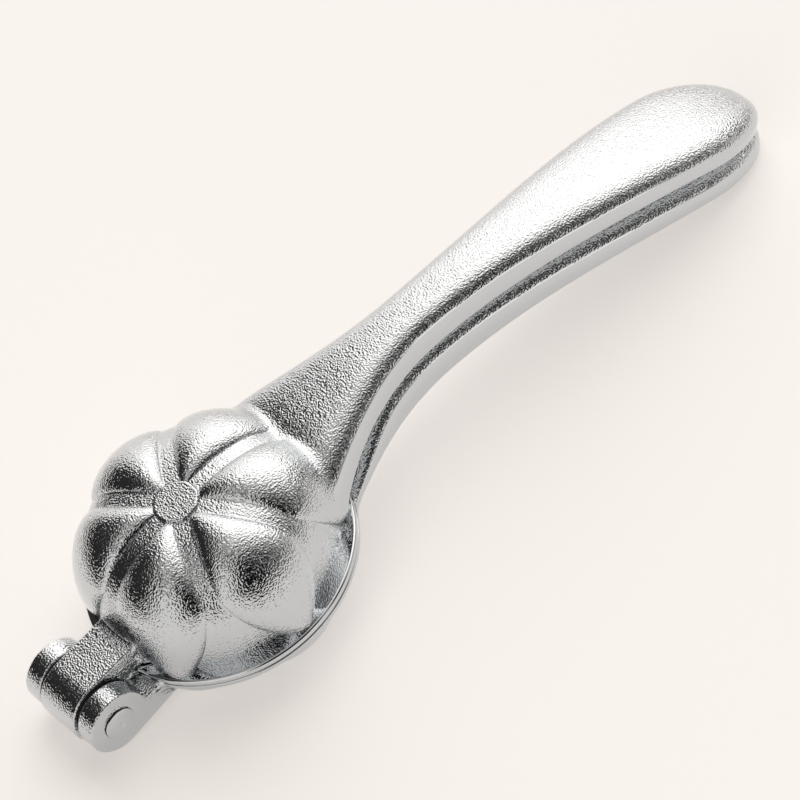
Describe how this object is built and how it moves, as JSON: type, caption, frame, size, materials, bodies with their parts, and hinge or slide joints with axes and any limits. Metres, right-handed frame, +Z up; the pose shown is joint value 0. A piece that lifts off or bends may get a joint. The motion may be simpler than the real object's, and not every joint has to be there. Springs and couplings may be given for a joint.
{
  "type": "chestnut scoring tool",
  "caption": "Hand tool with two hinged cast jaws: a petalled domed head over a shallow dish, twin nested curved handles, and a cross of blades inside that scores a nut.",
  "frame": {"origin": "centre of the flat foot under the lower jaw's dish, on the surface that the tool lies on", "axes": "+X towards the handles' tips, +Y to the far side, +Z up from the surface that the tool lies on"},
  "size_m": [0.1732, 0.052, 0.0333],
  "materials": {
    "cast_chrome": "bright chrome over a finely pebbled casting",
    "pin_chrome": "smooth, softly polished ends",
    "washer_black": "matt black",
    "plain_steel": "bright, lightly brushed",
    "blade_steel": "ground, with a bright edge"
  },
  "bodies": {
    "lower_lever": {"lower_jaw": "cast_chrome", "hinge_pin": "pin_chrome", "washer_near": "washer_black", "washer_far": "washer_black"},
    "upper_lever": {"upper_jaw": "cast_chrome", "blade_holder": "plain_steel", "blade_long": "blade_steel", "blade_cross": "blade_steel", "holder_screws": "plain_steel"}
  },
  "joints": [
    {"name": "jaw_hinge", "type": "hinge", "parent": "lower_lever", "child": "upper_lever", "pos_m": [-0.0351, 0, 0.0074], "axis": [0, -1, 0], "range_deg": [0, 60]}
  ]
}
